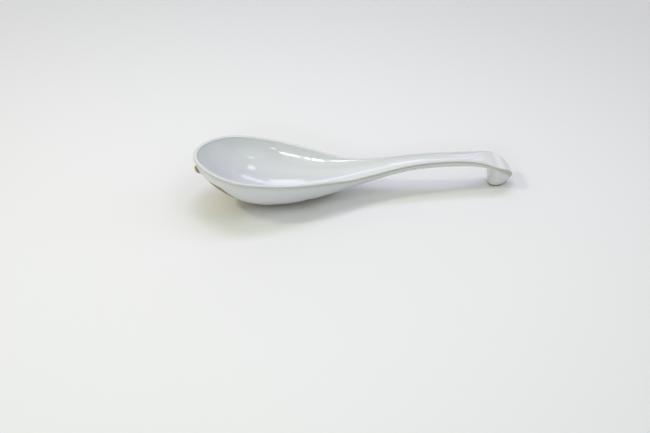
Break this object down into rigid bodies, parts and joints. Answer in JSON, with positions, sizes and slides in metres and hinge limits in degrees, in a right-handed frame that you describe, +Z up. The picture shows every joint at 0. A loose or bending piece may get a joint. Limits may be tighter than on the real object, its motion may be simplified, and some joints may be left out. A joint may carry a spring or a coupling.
{
  "type": "spoon",
  "caption": "White glazed ceramic soup spoon with a deep egg-shaped bowl, a flat rim and a slender arched handle that ends in a drooping paddle with a hook under it.",
  "frame": {"origin": "on the table under the middle of the spoon's length and width", "axes": "+X along the spoon from the bowl to the handle's end, +Z up from the table"},
  "size_m": [0.1701, 0.0508, 0.0286],
  "materials": {
    "white_glaze": "glossy white glaze"
  },
  "bodies": {
    "root": {"spoon": "white_glaze"}
  },
  "joints": []
}
